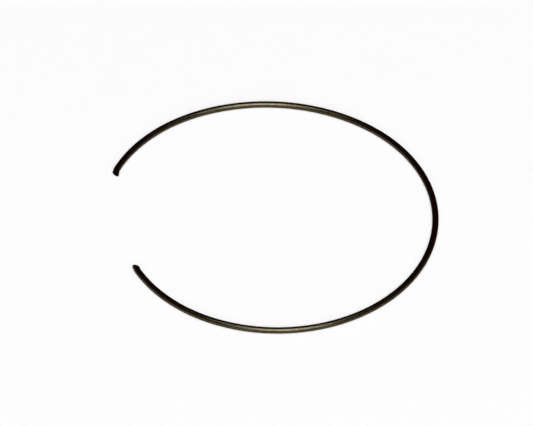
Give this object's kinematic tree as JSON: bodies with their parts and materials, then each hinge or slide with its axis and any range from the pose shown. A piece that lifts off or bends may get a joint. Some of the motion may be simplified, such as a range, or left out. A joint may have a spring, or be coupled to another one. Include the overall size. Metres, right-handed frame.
{
  "type": "circlip retaining ring",
  "caption": "Open snap ring of round spring wire, without lugs; it springs out into a groove in a bore and keeps a bearing or plug from sliding out.",
  "frame": {"origin": "centre of the ring's main arc, at half the height of the wire", "axes": "+Z along the ring's axis; the gap between the ends faces -X; +Y towards the opened-out back arm"},
  "size_m": [0.1025, 0.1029, 0.002],
  "materials": {
    "phosphated_wire": "drawn spring steel, dark phosphate and oil, satin with a fine grain"
  },
  "bodies": {
    "root": {"snap_ring": "phosphated_wire"}
  },
  "joints": []
}
